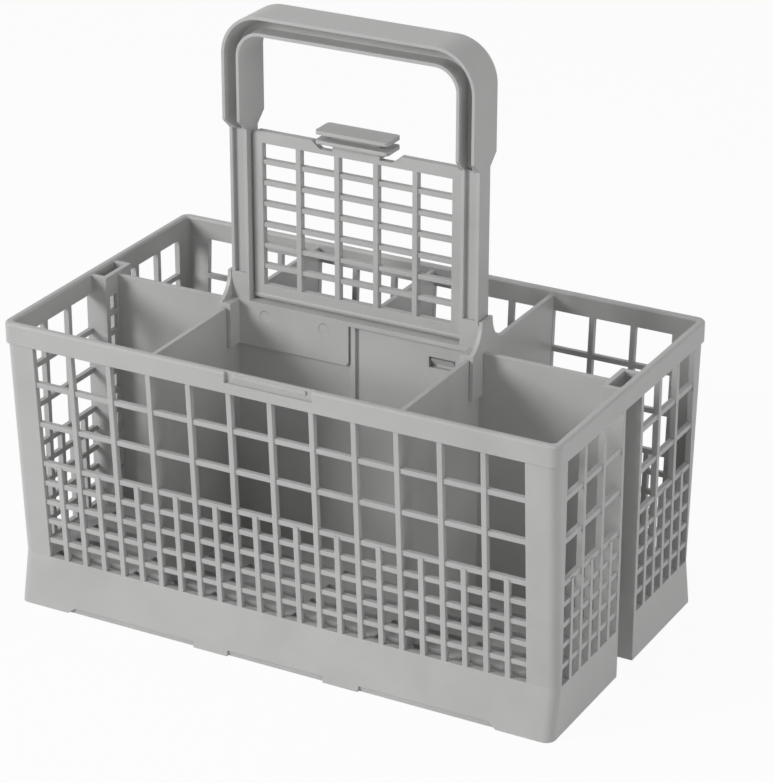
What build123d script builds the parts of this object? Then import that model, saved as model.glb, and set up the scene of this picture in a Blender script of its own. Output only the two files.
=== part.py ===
from build123d import *
import os

# Dishwasher cutlery basket: a moulded lattice basket with seven compartments,
# a clip-on handle and a grid lid that is hinged in the handle's frame.
# Millimetres; X runs along the length, the front faces -Y, Z is up and the
# foot stands on Z = 0.

# Basket, outside
length = 240.0
depth = 135.0
height = 123.0
corner_radius = 4.0
wall = 2.4
rim_height = 8.6
rim_proud = 0.8
rim_chamfer = 0.7
waist_height = 20.8
long_wall_lean = 5.4
foot_flare = 4.4
floor_drop = 0.8
floor_thickness = 2.0

# Lattice: uprights as thick as the wall, level bars set back by a small step
bar = 2.1
bar_step = 0.45
large_rows = 3
small_rows = 5
long_columns = 12
end_columns = 3
cross_wall_column = 3
post_long = 13.6
post_end = 10.0

# Inside of the basket
divider = 1.8
centre_wall = 2.0
divider_drop = 2.0
rib_width = 2.2
rib_proud = 1.2
channel_half_width = 7.3
channel_wall = 2.0
channel_depth = 7.6
window_height = 6.8
window_margin = 0.4
floor_slot = 3.0
floor_slot_gap = 5.0
floor_slot_columns = 6
floor_slot_rows = 4
floor_slot_pitch = 13.4
floor_slot_first = 14.7

# Rim catch for the lid, and the shallow reliefs along the foot
catch_half_width = 19.0
catch_height = 4.4
catch_recess = 1.4
catch_ridge = 0.6
catch_ridge_height = 1.6
relief_height = 2.3
relief_depth = 1.2
relief_middle = 21.5
relief_near = 37.0
relief_far = 96.0
relief_slope = 3.0

# Handle
total_height = 242.0
handle_half_width = 54.4
handle_band = 7.8
handle_radius = 17.0
handle_offset = 2.2
grip_depth = 18.4
grip_bottom = 198.5
grip_chamfer = 4.5
leg_depth = 8.4
leg_groove = 1.5
flange = 1.3
grip_cove = 2.6
web = 3.6
crossbar = 1.9
plate = 1.8
plate_drop = 17.0
plate_corner = 1.2
saddle_front = 9.6
saddle_back = 12.4
saddle_rise = 13.0
saddle_cheek = 1.6
clip_width = 9.8
clip_height = 3.0
clip_inset = 38.7
clip_drop = 8.4
clip_play = 0.8
fit = 0.2

# Lid
lid_thickness = 2.8
lid_height = 68.6
lid_columns = 5
lid_rows = 7
lid_side_gap = 1.0
lid_stile = 4.2
lid_bar = 2.1
lid_cross_bar = 1.9
lid_step = 0.4
lid_head = 4.8
lid_foot = 4.8
lid_corner = 2.5
hinge_radius = 1.6
hinge_gap = 0.3
pin_radius = 1.3
pin_length = 1.6
pin_play = 0.1
tab_half_width = 15.8
tab_depth = 11.0
tab_thickness = 1.5
tab_rise = 0.7
tab_gap = 2.3
tab_round = 1.5
neck_half_width = 10.2
neck_depth = 5.0
notch_width = 5.6
notch_slope = 3.5
notch_depth = 3.0

# Worked out from the sizes above
rim_z = height - rim_height
floor_z = waist_height - floor_drop
divider_top = height - divider_drop
wall_length = length - 2 * rim_proud
top_depth = depth - 2 * rim_proud
waist_depth = top_depth - 2 * long_wall_lean
foot_depth = waist_depth + 2 * foot_flare
inner_radius = corner_radius - wall
row_pitch = (rim_z - waist_height + bar) / (2 * large_rows + small_rows)
finger = small_rows * row_pitch - bar / 2
long_lattice = length - 2 * post_long
long_pitch = (long_lattice + bar) / long_columns
cross_wall_x = cross_wall_column * long_pitch
channel_half = channel_half_width + channel_wall
end_lattice = depth / 2 - post_end - channel_half
end_pitch = (end_lattice + bar) / end_columns
end_centre = channel_half + end_lattice / 2
channel_inner = length / 2 - rim_proud - channel_depth
channel_face = channel_inner - channel_wall
window_width = channel_half_width - centre_wall / 2 - 2 * window_margin
end_inside = wall_length / 2 - wall
window_rows = int((rim_z - floor_z) / row_pitch)
floor_slot_column = 2 * channel_face / floor_slot_columns
handle_inner = handle_half_width - handle_band
cheek_inner = cross_wall_x - divider / 2 - fit
cheek_outer = cross_wall_x + divider / 2 + fit
saddle_in = cheek_inner - saddle_cheek
saddle_out = cheek_outer + saddle_cheek
saddle_top = divider_top + saddle_rise
crossbar_top = divider_top + crossbar
plate_near = centre_wall / 2 + fit
plate_far = plate_near + plate
plate_end = rib_width / 2 + 2 * fit
clip_z = divider_top - clip_drop
bar_depth = handle_offset + leg_depth / 2 + plate_far
arch_top = total_height - handle_band
arch_radius = handle_radius - handle_band
groove_low = grip_bottom - grip_chamfer
leg_front = (handle_offset - leg_depth / 2, saddle_top)
leg_back = (handle_offset + leg_depth / 2, saddle_top)
hinge_y = handle_offset
hinge_z = crossbar_top + hinge_gap + hinge_radius
lid_half = handle_inner - lid_side_gap
lid_top = hinge_z + lid_height
lid_field = lid_half - lid_stile
lid_low = hinge_z + lid_foot
lid_high = lid_top - lid_head
lid_pitch = (2 * lid_field + lid_bar) / lid_columns
lid_row = (lid_high - lid_low + lid_cross_bar) / lid_rows
tab_low = lid_top + tab_rise
tab_high = tab_low + tab_thickness + tab_gap
up = (Align.CENTER, Align.MIN)


def half_depth_at(z):
    """Outer half depth of the leaning long walls at a height."""
    share = (z - waist_height) / (rim_z - waist_height)
    return (waist_depth + share * (top_depth - waist_depth)) / 2


def arch_face(low, half_width, top, radius):
    """Upright rectangle with a rounded top, standing on a height."""
    with BuildSketch(mode=Mode.PRIVATE) as face:
        with Locations((0, low)):
            Rectangle(2 * half_width, top - low, align=up)
        fillet(face.vertices().group_by(Axis.Y)[-1], radius=radius)
    return face.sketch


def groove_face(inset):
    """Section of the grip's groove, its outer edge set in from the grip's outer edge."""
    return arch_face(groove_low, handle_half_width - inset, total_height - inset, handle_radius - inset)


def lattice_columns(pitch, columns, scale):
    """Strips between the uprights of a lattice field, with a short upright left in each."""
    with GridLocations(pitch, 0, columns, 1):
        Rectangle(pitch - bar, (rim_z - waist_height) * scale, align=up)
        Rectangle(bar, finger * scale, align=up, mode=Mode.SUBTRACT)


def lattice_openings(pitch, columns, scale):
    """Openings of a lattice field in the sketch at hand: fine rows below, coarse rows above."""
    for row in range(small_rows):
        with Locations((0, row * row_pitch * scale)):
            with GridLocations(pitch / 2, 0, 2 * columns, 1):
                Rectangle(pitch / 2 - bar, (row_pitch - bar) * scale, align=up)
    for row in range(large_rows):
        with Locations((0, (small_rows + 2 * row) * row_pitch * scale)):
            with GridLocations(pitch, 0, columns, 1):
                Rectangle(pitch - bar, (2 * row_pitch - bar) * scale, align=up)


# Planes on the outer faces of the four walls, local Y up the wall from the waist
lean = Vector(0, long_wall_lean, rim_z - waist_height)
front_plane = Plane((0, -waist_depth / 2, waist_height), (1, 0, 0), (0, -lean.Z, -lean.Y))
back_plane = Plane((0, waist_depth / 2, waist_height), (-1, 0, 0), (0, lean.Z, -lean.Y))
right_plane = Plane((wall_length / 2, 0, waist_height), (0, 1, 0), (1, 0, 0))
left_plane = Plane((-wall_length / 2, 0, waist_height), (0, -1, 0), (-1, 0, 0))
stretch = lean.length / lean.Z
handle_plane = Plane.XZ.offset(-handle_offset)
lid_plane = Plane.XZ.offset(lid_thickness / 2 - hinge_y)
groove_core = arch_face(groove_low, handle_inner + flange, arch_top + flange, arch_radius + flange)

with BuildPart() as basket:
    # Skirt and leaning walls from one end profile, with rounded corners, then the rim
    with BuildSketch(Plane.YZ):
        with BuildLine():
            Polyline(
                (-foot_depth / 2, 0),
                (-waist_depth / 2, waist_height),
                (-top_depth / 2, rim_z),
                (top_depth / 2, rim_z),
                (waist_depth / 2, waist_height),
                (foot_depth / 2, 0),
                close=True,
            )
        make_face()
    extrude(amount=wall_length / 2, both=True)
    ends = basket.faces().filter_by(Axis.X).edges()
    fillet(ends.filter_by(lambda edge: edge.bounding_box().size.Z > 1), radius=corner_radius)
    with BuildSketch(Plane.XY.offset(rim_z)):
        RectangleRounded(length, depth, corner_radius)
    extrude(amount=rim_height)
    # Hollows above and below the floor
    with BuildSketch(Plane.YZ):
        with BuildLine():
            Polyline(
                (wall - half_depth_at(floor_z), floor_z),
                (wall - top_depth / 2, rim_z),
                (wall - top_depth / 2, height),
                (top_depth / 2 - wall, height),
                (top_depth / 2 - wall, rim_z),
                (half_depth_at(floor_z) - wall, floor_z),
                close=True,
            )
        make_face()
        with BuildLine():
            Polyline(
                (wall - foot_depth / 2, 0),
                (wall - half_depth_at(floor_z), floor_z - floor_thickness),
                (half_depth_at(floor_z) - wall, floor_z - floor_thickness),
                (foot_depth / 2 - wall, 0),
                close=True,
            )
        make_face()
    extrude(amount=end_inside, both=True, mode=Mode.SUBTRACT)
    across = basket.faces().filter_by(Axis.X)
    insides = across.filter_by(lambda face: abs(face.center().X) < end_inside + wall / 2).edges()
    fillet(insides.filter_by(lambda edge: edge.bounding_box().size.Z > 1), radius=inner_radius)
    chamfer(basket.faces().sort_by(Axis.Z)[-1].edges(), length=rim_chamfer)

    # End channels: a box behind the rim, open to the outside below it
    for side in (-1, 1):
        with BuildSketch(Plane.XY):
            with Locations((side * (channel_face + wall_length / 2 - wall / 2) / 2, 0)):
                Rectangle(wall_length / 2 - wall / 2 - channel_face, 2 * channel_half)
        extrude(amount=height - rim_chamfer)
        with BuildSketch(Plane.XY):
            with Locations((side * (channel_inner + length / 2) / 2, 0)):
                Rectangle(length / 2 - channel_inner, 2 * channel_half_width)
        extrude(amount=rim_z, mode=Mode.SUBTRACT)
        with BuildSketch(Plane.XY.offset(rim_z)):
            with Locations((side * (channel_inner + wall_length / 2 - wall) / 2, 0)):
                Rectangle(wall_length / 2 - wall - channel_inner, 2 * channel_half_width)
        extrude(amount=rim_height, mode=Mode.SUBTRACT)
        # Windows through the inner face of the channel, beside the centre wall
        with BuildSketch(Plane.YZ.offset(side * channel_inner)):
            with Locations((0, rim_z - window_rows * row_pitch / 2)):
                with GridLocations(channel_half_width + centre_wall / 2, row_pitch, 2, window_rows):
                    Rectangle(window_width, window_height)
        extrude(amount=-side * channel_wall, mode=Mode.SUBTRACT)

    # Centre wall with its rib, and cross walls: three compartments in front, four behind
    with BuildSketch(Plane.XY.offset(floor_z)):
        Rectangle(2 * channel_face, centre_wall)
        with Locations((0, -centre_wall / 2)):
            Rectangle(rib_width, 2 * rib_proud)
    extrude(amount=divider_top - floor_z)
    for x, side in ((-1, -1), (1, -1), (-1, 1), (0, 1), (1, 1)):
        with BuildSketch(Plane.YZ.offset(x * cross_wall_x)):
            with BuildLine():
                Polyline(
                    (0, floor_z),
                    (side * (half_depth_at(floor_z) - wall / 2), floor_z),
                    (side * (half_depth_at(rim_z) - wall / 2), rim_z),
                    (side * (half_depth_at(rim_z) - wall / 2), divider_top),
                    (0, divider_top),
                    close=True,
                )
            make_face()
        extrude(amount=divider / 2, both=True)

    # Windows in the centre wall that the handle's clips snap into
    with BuildSketch(Plane.XZ):
        with Locations((0, clip_z)):
            with GridLocations(2 * clip_inset, 0, 2, 1):
                Rectangle(clip_width + 2 * clip_play, clip_height + 2 * clip_play)
    extrude(amount=centre_wall, both=True, mode=Mode.SUBTRACT)

    # Drain slots in the floor
    with BuildSketch(Plane.XY.offset(floor_z)):
        for side in (-1, 1):
            for row in range(floor_slot_rows):
                with Locations((0, side * (floor_slot_first + row * floor_slot_pitch))):
                    with GridLocations(floor_slot_column, 0, floor_slot_columns, 1):
                        Rectangle(floor_slot_column - floor_slot_gap, floor_slot)
    extrude(amount=-floor_thickness, mode=Mode.SUBTRACT)

    # Recess in the front rim with a ridge that the lid's tab snaps over
    with BuildSketch(Plane.XY.offset(height)):
        with Locations((0, -depth / 2)):
            Rectangle(2 * catch_half_width, 2 * catch_recess)
    extrude(amount=-catch_height, mode=Mode.SUBTRACT)
    with BuildSketch(Plane.XY.offset(height - rim_chamfer)):
        with Locations((0, catch_recess - depth / 2)):
            Rectangle(2 * tab_half_width, 2 * catch_ridge)
    extrude(amount=-catch_ridge_height)

    # Shallow reliefs along the bottom of the front and back
    for side in (-1, 1):
        with BuildSketch(Plane.XZ.offset(-side * (foot_depth / 2 - relief_depth))):
            Rectangle(2 * relief_middle, relief_height, align=up)
            for end in (-1, 1):
                with BuildLine():
                    Polyline(
                        (end * relief_near, 0),
                        (end * relief_near, relief_height),
                        (end * (relief_far - relief_slope), relief_height),
                        (end * relief_far, 0),
                        close=True,
                    )
                make_face()
        extrude(amount=-side * relief_depth, mode=Mode.SUBTRACT)

    # Lattice: a shallow step down to the level bars, then the openings, first in the end walls
    for plane in (right_plane, left_plane):
        with BuildSketch(plane):
            with GridLocations(2 * end_centre, 0, 2, 1):
                lattice_columns(end_pitch, end_columns, 1)
        extrude(amount=-bar_step, mode=Mode.SUBTRACT)
        with BuildSketch(plane):
            with GridLocations(2 * end_centre, 0, 2, 1):
                lattice_openings(end_pitch, end_columns, 1)
        extrude(amount=-wall, mode=Mode.SUBTRACT)
    for plane in (front_plane, back_plane):
        with BuildSketch(plane):
            lattice_columns(long_pitch, long_columns, stretch)
        extrude(amount=-bar_step, mode=Mode.SUBTRACT)
        with BuildSketch(plane):
            lattice_openings(long_pitch, long_columns, stretch)
        extrude(amount=-wall * stretch, mode=Mode.SUBTRACT)

with BuildPart() as handle:
    # Arch of the grip and the two legs, which spread a little towards the saddles
    with BuildSketch(handle_plane):
        with BuildLine():
            Polyline(
                (-saddle_out, divider_top),
                (-handle_half_width, saddle_top),
                (handle_half_width, saddle_top),
                (saddle_out, divider_top),
                close=True,
            )
        make_face()
        add(arch_face(saddle_top, handle_half_width, total_height, handle_radius))
        add(arch_face(crossbar_top, handle_inner, arch_top, arch_radius), mode=Mode.SUBTRACT)
    extrude(amount=grip_depth / 2, both=True)
    # Side view: the deep grip narrows to the legs
    with BuildSketch(Plane.YZ):
        with Locations((handle_offset, divider_top)):
            Rectangle(leg_depth, total_height - divider_top, align=up)
        with BuildLine():
            Polyline(
                (handle_offset - leg_depth / 2, groove_low),
                (handle_offset - grip_depth / 2, grip_bottom),
                (handle_offset - grip_depth / 2, total_height),
                (handle_offset + grip_depth / 2, total_height),
                (handle_offset + grip_depth / 2, grip_bottom),
                (handle_offset + leg_depth / 2, groove_low),
                close=True,
            )
        make_face()
    extrude(amount=length, both=True, mode=Mode.INTERSECT)
    # Grooves: a deep one along the grip that narrows inwards, a shallow one down each leg
    for side in (-1, 1):
        with BuildSketch(Plane.XZ.offset(-handle_offset - side * grip_depth / 2)):
            add(groove_face(flange))
            add(groove_core, mode=Mode.SUBTRACT)
        with BuildSketch(Plane.XZ.offset(-handle_offset - side * web / 2)):
            add(groove_face(flange + grip_cove))
            add(groove_core, mode=Mode.SUBTRACT)
        loft(ruled=True, mode=Mode.SUBTRACT)
        with BuildSketch(Plane.XZ.offset(-handle_offset - side * (leg_depth / 2 - leg_groove))):
            with Locations((0, saddle_top)):
                with GridLocations(handle_half_width + handle_inner, 0, 2, 1):
                    Rectangle(handle_band - 2 * flange, groove_low - saddle_top, align=up)
        extrude(amount=-side * leg_groove, mode=Mode.SUBTRACT)
    # Bar across the legs, on top of the centre wall
    with BuildSketch(Plane.XY.offset(divider_top)):
        with Locations((0, handle_offset + leg_depth / 2)):
            Rectangle(2 * saddle_in, bar_depth, align=(Align.CENTER, Align.MAX))
    extrude(amount=crossbar)
    # Saddles that straddle the cross walls below each leg, the outer cheek flaring out of the leg
    for side in (-1, 1):
        with BuildSketch(Plane.YZ.offset(side * saddle_in)):
            with Locations(((saddle_back - saddle_front) / 2, crossbar_top)):
                Rectangle(saddle_back + saddle_front, crossbar + plate_drop, align=(Align.CENTER, Align.MAX))
        extrude(amount=side * (saddle_out - saddle_in))
        with BuildSketch(Plane.YZ.offset(side * cheek_outer)):
            with BuildLine():
                front = TangentArc(leg_front, (-saddle_front, crossbar_top), tangent=(0, -1))
                back = TangentArc(leg_back, (saddle_back, crossbar_top), tangent=(0, -1))
                Line(front @ 1, back @ 1)
                Line(front @ 0, back @ 0)
            make_face()
        extrude(amount=side * saddle_cheek)
        with BuildSketch(Plane.XY.offset(divider_top)):
            with Locations((side * cross_wall_x, 0)):
                Rectangle(cheek_outer - cheek_inner, 2 * (saddle_back + saddle_front))
        extrude(amount=-plate_drop, mode=Mode.SUBTRACT)
    with BuildSketch(Plane.XY.offset(divider_top)):
        Rectangle(2 * saddle_out, 2 * plate_near)
    extrude(amount=-plate_drop, mode=Mode.SUBTRACT)
    # Half plates on opposite faces of the centre wall, each with a wedge clip
    for side in (-1, 1):
        with BuildSketch(Plane.XZ.offset(-side * plate_near)):
            with BuildLine():
                Polyline(
                    (side * saddle_in, divider_top),
                    (side * saddle_in, divider_top - plate_drop),
                    (side * (plate_end + plate_corner), divider_top - plate_drop),
                    (side * plate_end, divider_top - plate_drop + plate_corner),
                    (side * plate_end, divider_top),
                    close=True,
                )
            make_face()
        extrude(amount=-side * plate)
        with BuildSketch(Plane.YZ.offset(side * clip_inset)):
            with BuildLine():
                Polyline(
                    (side * plate_near, clip_z + clip_height / 2),
                    (-side * centre_wall / 2, clip_z + clip_height / 2),
                    (side * plate_near, clip_z - clip_height / 2),
                    close=True,
                )
            make_face()
        extrude(amount=clip_width / 2, both=True)
    # Holes for the lid's hinge pins
    for side in (-1, 1):
        with BuildSketch(Plane.YZ.offset(side * handle_inner)):
            with Locations((hinge_y, hinge_z)):
                Circle(pin_radius + pin_play)
        extrude(amount=side * (pin_length + pin_play), mode=Mode.SUBTRACT)

with BuildPart() as lid:
    # Panel with rounded top corners and a notch on each side of the neck
    with BuildSketch(lid_plane) as panel:
        with Locations((0, hinge_z)):
            Rectangle(2 * lid_half, lid_height, align=up)
        fillet(panel.vertices().group_by(Axis.Y)[-1], radius=lid_corner)
        for side in (-1, 1):
            with BuildLine():
                Polyline(
                    (side * neck_half_width, lid_top),
                    (side * neck_half_width, lid_top - notch_depth),
                    (side * (neck_half_width + notch_width), lid_top - notch_depth),
                    (side * (neck_half_width + notch_width + notch_slope), lid_top),
                    close=True,
                )
            make_face(mode=Mode.SUBTRACT)
    extrude(amount=-lid_thickness)
    # Grid: a shallow step down to the level bars in each column, then the openings
    with BuildSketch(lid_plane):
        with Locations((0, lid_low)):
            with GridLocations(lid_pitch, 0, lid_columns, 1):
                Rectangle(lid_pitch - lid_bar, lid_high - lid_low, align=up)
    extrude(amount=-lid_step, mode=Mode.SUBTRACT)
    with BuildSketch(lid_plane):
        for row in range(lid_rows):
            with Locations((0, lid_low + row * lid_row)):
                with GridLocations(lid_pitch, 0, lid_columns, 1):
                    Rectangle(lid_pitch - lid_bar, lid_row - lid_cross_bar, align=up)
    extrude(amount=-lid_thickness, mode=Mode.SUBTRACT)
    # Thumb tab: two level plates on a neck
    with BuildSketch(Plane.XY.offset(lid_top - notch_depth)):
        with Locations((0, hinge_y - lid_thickness / 2)):
            Rectangle(2 * neck_half_width, neck_depth, align=up)
    extrude(amount=tab_high - lid_top + notch_depth)
    for z in (tab_low, tab_high):
        with BuildSketch(Plane.XY.offset(z)):
            with Locations((0, hinge_y)):
                RectangleRounded(2 * tab_half_width, tab_depth, tab_round)
        extrude(amount=tab_thickness)
    # Hinge barrel along the bottom, with a pin at each end
    with BuildSketch(Plane.YZ):
        with Locations((hinge_y, hinge_z)):
            Circle(hinge_radius)
    extrude(amount=lid_half, both=True)
    with BuildSketch(Plane.YZ):
        with Locations((hinge_y, hinge_z)):
            Circle(pin_radius)
    extrude(amount=handle_inner + pin_length, both=True)

os.makedirs("parts", exist_ok=True)
basket.part.label = "basket"
handle.part.label = "handle"
lid.part.label = "lid"
export_step(basket.part, "parts/basket.step")
export_step(handle.part, "parts/handle.step")
export_step(lid.part, "parts/lid.step")
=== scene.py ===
import math

import bpy
from mathutils import Matrix, Vector

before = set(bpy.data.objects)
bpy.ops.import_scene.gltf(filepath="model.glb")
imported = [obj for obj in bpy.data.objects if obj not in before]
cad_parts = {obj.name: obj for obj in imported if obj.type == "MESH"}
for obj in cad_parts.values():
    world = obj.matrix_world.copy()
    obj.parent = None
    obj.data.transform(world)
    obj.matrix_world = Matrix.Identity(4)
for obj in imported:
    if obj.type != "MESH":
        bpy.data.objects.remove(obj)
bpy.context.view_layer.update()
bpy.ops.object.select_all(action="DESELECT")

# Camera fitted to the photograph, in pixels, metres and degrees
IMAGE_HEIGHT = 783
FOCAL_PIXELS = 3094.1
SENSOR = 36.0
CAMERA_PLACE = (0.53884, -0.96945, 0.59373)
CAMERA_AZIMUTH = 28.4376
CAMERA_ELEVATION = 24.3213
CAMERA_ROLL = 0.0857
CLIP_NEAR = 0.05
CLIP_FAR = 20.0

# Light grey polypropylene, linear colours
PLASTIC_GREY = (0.50, 0.50, 0.495, 1.0)
PLASTIC_SHADE = (0.455, 0.455, 0.45, 1.0)
# Painted edge highlight colour, lighter than the grey
PLASTIC_EDGE_HIGHLIGHT = (0.70, 0.70, 0.69, 1.0)
PLASTIC_IOR = 1.49
PLASTIC_SPECULAR = 0.45
ROUGHNESS_LOW = 0.36
ROUGHNESS_HIGH = 0.50

# Flow marks: soft clouds in the tint and the gloss
FLOW_SCALE = 28.0
FLOW_DETAIL = 4.0
FLOW_DISTORTION = 0.6
SHADE_AT = 0.30
GREY_AT = 0.62
GLOSS_FROM = 0.25
GLOSS_TO = 0.75

# Fine grain of the mould, heights in metres
GRAIN_SCALE = 1900.0
GRAIN_DETAIL = 2.0
GRAIN_STRENGTH = 0.10
GRAIN_HEIGHT = 0.0002

# Softened edges with a painted highlight, a little lighter than the faces, in metres and shares
EDGE_RADIUS = 0.0004
EDGE_SAMPLES = 4
EDGE_FROM = 0.80
EDGE_SHARE = 0.7

# Two round ejector marks on the handle's front plate, metres
EJECTOR_MARKS = ((-0.0390, -0.0030, 0.1176), (-0.0125, -0.0030, 0.1176))
EJECTOR_RADIUS = 0.0025
EJECTOR_EDGE = 0.0004
EJECTOR_STRENGTH = 0.9
EJECTOR_DEPTH = 0.0003

# Floor; FLOOR_WHITE is the share of it that shows plain white, and the rest is lit and keeps the shadow
FLOOR_SIZE = 8.0
FLOOR_COLOUR = (0.88, 0.88, 0.88, 1.0)
FLOOR_ROUGHNESS = 0.9
FLOOR_SPECULAR = 0.1
FLOOR_WHITE = 0.94

# Point that the lamps look at, in metres, and a sky that is dim as a light and white where it is seen
LIGHT_AIM = (0, 0, 0.1)
SKY_COLOUR = (1.0, 1.0, 1.0, 1.0)
SKY_LIGHT = 0.17
SKY_SEEN = 1.0


def link(tree, source, target):
    """Join an output socket to an input socket."""
    tree.links.new(source, target)


def noise(tree, vector, scale, detail):
    """Noise texture that reads a place vector."""
    texture = tree.nodes.new("ShaderNodeTexNoise")
    texture.inputs["Scale"].default_value = scale
    texture.inputs["Detail"].default_value = detail
    link(tree, vector, texture.inputs["Vector"])
    return texture


def map_range(tree, value, from_min, from_max, to_min, to_max):
    """Node that carries a value from one range to another."""
    node = tree.nodes.new("ShaderNodeMapRange")
    node.inputs["From Min"].default_value = from_min
    node.inputs["From Max"].default_value = from_max
    node.inputs["To Min"].default_value = to_min
    node.inputs["To Max"].default_value = to_max
    link(tree, value, node.inputs["Value"])
    return node


def bump(tree, height, normal, strength, distance):
    """Bump on top of a surface normal; gives the new normal."""
    node = tree.nodes.new("ShaderNodeBump")
    node.inputs["Strength"].default_value = strength
    node.inputs["Distance"].default_value = distance
    link(tree, height, node.inputs["Height"])
    link(tree, normal, node.inputs["Normal"])
    return node.outputs["Normal"]


def ejector_marks(tree, place, normal):
    """Shallow round recesses left by ejector pins, pressed into a surface normal."""
    for centre in EJECTOR_MARKS:
        distance = tree.nodes.new("ShaderNodeVectorMath")
        distance.operation = "DISTANCE"
        distance.inputs[1].default_value = centre
        link(tree, place.outputs["Object"], distance.inputs[0])
        inner = EJECTOR_RADIUS - EJECTOR_EDGE
        step = map_range(tree, distance.outputs["Value"], inner, EJECTOR_RADIUS, 0.0, 1.0)
        step.interpolation_type = "SMOOTHSTEP"
        normal = bump(tree, step.outputs["Result"], normal, EJECTOR_STRENGTH, EJECTOR_DEPTH)
    return normal


def painted_edge_highlight(tree, edge, colour):
    """Colour with a painted highlight: lighter where the softened normal leaves the face's own."""
    face = tree.nodes.new("ShaderNodeNewGeometry")
    flat = tree.nodes.new("ShaderNodeVectorMath")
    flat.operation = "DOT_PRODUCT"
    link(tree, edge.outputs["Normal"], flat.inputs[0])
    link(tree, face.outputs["Normal"], flat.inputs[1])
    # Painted highlight: the colour turns lighter along the softened edges
    painted_highlight = map_range(tree, flat.outputs["Value"], EDGE_FROM, 1.0, EDGE_SHARE, 0.0)
    blend = tree.nodes.new("ShaderNodeMix")
    blend.data_type = "RGBA"
    blend.inputs["B"].default_value = PLASTIC_EDGE_HIGHLIGHT
    link(tree, painted_highlight.outputs["Result"], blend.inputs["Factor"])
    link(tree, colour, blend.inputs["A"])
    return blend.outputs["Result"]


def moulded_plastic(name, seed, marked=False):
    """Satin injection-moulded plastic: faint flow marks, fine grain, softened edges with a painted
    highlight.
    """
    material = bpy.data.materials.new(name)
    material.use_nodes = True
    tree = material.node_tree
    shader = tree.nodes["Principled BSDF"]
    shader.inputs["IOR"].default_value = PLASTIC_IOR
    shader.inputs["Specular IOR Level"].default_value = PLASTIC_SPECULAR
    place = tree.nodes.new("ShaderNodeTexCoord")
    mapping = tree.nodes.new("ShaderNodeMapping")
    mapping.inputs["Location"].default_value = (seed, 2 * seed, -seed)
    link(tree, place.outputs["Object"], mapping.inputs["Vector"])

    flow = noise(tree, mapping.outputs["Vector"], FLOW_SCALE, FLOW_DETAIL)
    flow.inputs["Distortion"].default_value = FLOW_DISTORTION
    tint = tree.nodes.new("ShaderNodeValToRGB")
    shade, grey = tint.color_ramp.elements
    shade.position = SHADE_AT
    shade.color = PLASTIC_SHADE
    grey.position = GREY_AT
    grey.color = PLASTIC_GREY
    link(tree, flow.outputs["Fac"], tint.inputs["Fac"])
    gloss = map_range(tree, flow.outputs["Fac"], GLOSS_FROM, GLOSS_TO, ROUGHNESS_LOW, ROUGHNESS_HIGH)
    link(tree, gloss.outputs["Result"], shader.inputs["Roughness"])

    edge = tree.nodes.new("ShaderNodeBevel")
    edge.samples = EDGE_SAMPLES
    edge.inputs["Radius"].default_value = EDGE_RADIUS
    link(tree, painted_edge_highlight(tree, edge, tint.outputs["Color"]), shader.inputs["Base Color"])
    grain = noise(tree, mapping.outputs["Vector"], GRAIN_SCALE, GRAIN_DETAIL)
    normal = bump(tree, grain.outputs["Fac"], edge.outputs["Normal"], GRAIN_STRENGTH, GRAIN_HEIGHT)
    if marked:
        normal = ejector_marks(tree, place, normal)
    link(tree, normal, shader.inputs["Normal"])
    return material


def background_rays(tree):
    """One for camera, glossy and transmitted rays, zero for the diffuse rays that light the part."""
    path = tree.nodes.new("ShaderNodeLightPath")
    reflected = tree.nodes.new("ShaderNodeMath")
    reflected.operation = "MAXIMUM"
    link(tree, path.outputs["Is Glossy Ray"], reflected.inputs[0])
    link(tree, path.outputs["Is Transmission Ray"], reflected.inputs[1])
    seen = tree.nodes.new("ShaderNodeMath")
    seen.operation = "MAXIMUM"
    link(tree, path.outputs["Is Camera Ray"], seen.inputs[0])
    link(tree, reflected.outputs["Value"], seen.inputs[1])
    return seen.outputs["Value"]


def floor_material():
    """Pale floor that reads white to the camera and keeps a soft shadow."""
    material = bpy.data.materials.new("pale_floor")
    material.use_nodes = True
    tree = material.node_tree
    shader = tree.nodes["Principled BSDF"]
    shader.inputs["Base Color"].default_value = FLOOR_COLOUR
    shader.inputs["Roughness"].default_value = FLOOR_ROUGHNESS
    shader.inputs["Specular IOR Level"].default_value = FLOOR_SPECULAR
    glow = tree.nodes.new("ShaderNodeEmission")
    whiten = tree.nodes.new("ShaderNodeMath")
    whiten.operation = "MULTIPLY"
    whiten.inputs[1].default_value = FLOOR_WHITE
    link(tree, background_rays(tree), whiten.inputs[0])
    mix = tree.nodes.new("ShaderNodeMixShader")
    link(tree, whiten.outputs["Value"], mix.inputs["Fac"])
    link(tree, shader.outputs["BSDF"], mix.inputs[1])
    link(tree, glow.outputs["Emission"], mix.inputs[2])
    link(tree, mix.outputs["Shader"], tree.nodes["Material Output"].inputs["Surface"])
    return material


def dress(node, material):
    """Give a CAD node its material."""
    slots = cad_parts[node].data.materials
    slots.clear()
    slots.append(material)


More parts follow.
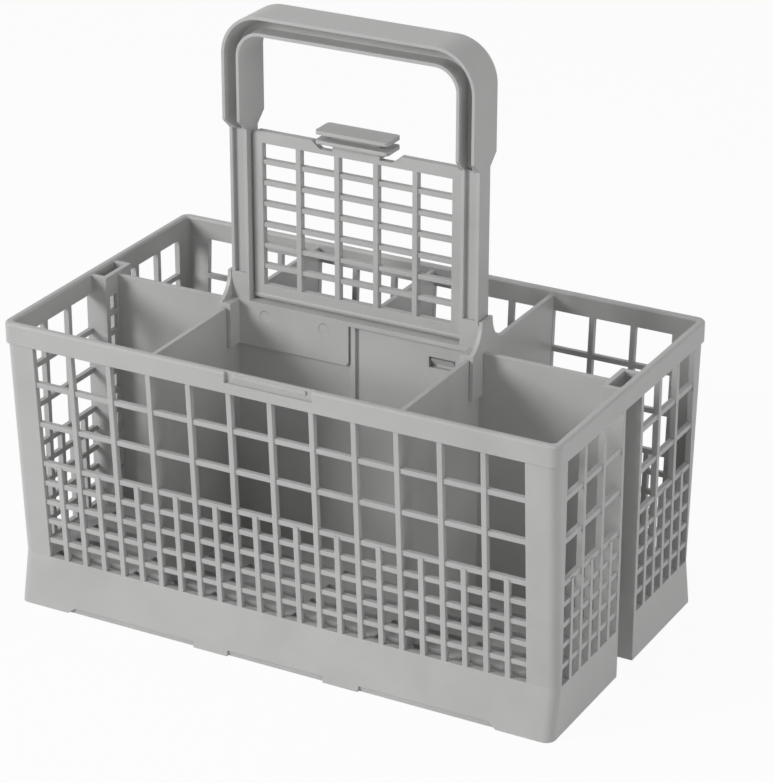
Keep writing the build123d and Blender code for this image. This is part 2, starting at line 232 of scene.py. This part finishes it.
def soft_light(name, place, size, power):
    """Square area lamp that looks at the basket."""
    lamp = bpy.data.lights.new(name, "AREA")
    lamp.shape = "SQUARE"
    lamp.size = size
    lamp.energy = power
    holder = bpy.data.objects.new(name, lamp)
    bpy.context.collection.objects.link(holder)
    holder.location = place
    direction = Vector(LIGHT_AIM) - Vector(place)
    holder.rotation_euler = direction.to_track_quat("-Z", "Y").to_euler()


def studio_sky():
    """White to the camera, a dim even light for the part."""
    world = bpy.data.worlds.new("studio")
    bpy.context.scene.world = world
    world.use_nodes = True
    tree = world.node_tree
    background = tree.nodes["Background"]
    background.inputs["Color"].default_value = SKY_COLOUR
    level = map_range(tree, background_rays(tree), 0.0, 1.0, SKY_LIGHT, SKY_SEEN)
    link(tree, level.outputs["Result"], background.inputs["Strength"])


def photo_camera():
    """Camera at the photograph's place and angle; the sensor spans the longer side, the height."""
    lens = bpy.data.cameras.new("photo_camera")
    lens.sensor_width = SENSOR
    lens.lens = SENSOR * FOCAL_PIXELS / IMAGE_HEIGHT
    lens.clip_start = CLIP_NEAR
    lens.clip_end = CLIP_FAR
    camera = bpy.data.objects.new("photo_camera", lens)
    bpy.context.collection.objects.link(camera)
    turn = Matrix.Rotation(math.radians(CAMERA_AZIMUTH), 4, "Z")
    turn = turn @ Matrix.Rotation(math.radians(90 - CAMERA_ELEVATION), 4, "X")
    turn = turn @ Matrix.Rotation(math.radians(CAMERA_ROLL), 4, "Z")
    camera.matrix_world = Matrix.Translation(CAMERA_PLACE) @ turn
    bpy.context.scene.camera = camera


# The three mouldings
dress("basket", moulded_plastic("basket_plastic", seed=0.11))
dress("handle", moulded_plastic("handle_plastic", seed=0.37, marked=True))
dress("lid", moulded_plastic("lid_plastic", seed=0.71))

# Floor
bpy.ops.mesh.primitive_plane_add(size=FLOOR_SIZE, location=(0, 0, 0))
floor = bpy.context.object
floor.name = "floor"
floor.data.materials.append(floor_material())

# Lamps, in metres and watts, sky and camera
soft_light("key_light", place=(-1.55, -1.8, 1.05), size=0.9, power=43.0)
soft_light("top_light", place=(0.0, 0.2, 1.8), size=1.4, power=7.0)
soft_light("side_light", place=(1.7, -0.4, 0.6), size=0.9, power=7.5)
studio_sky()
photo_camera()
bpy.context.scene.view_settings.view_transform = "Standard"
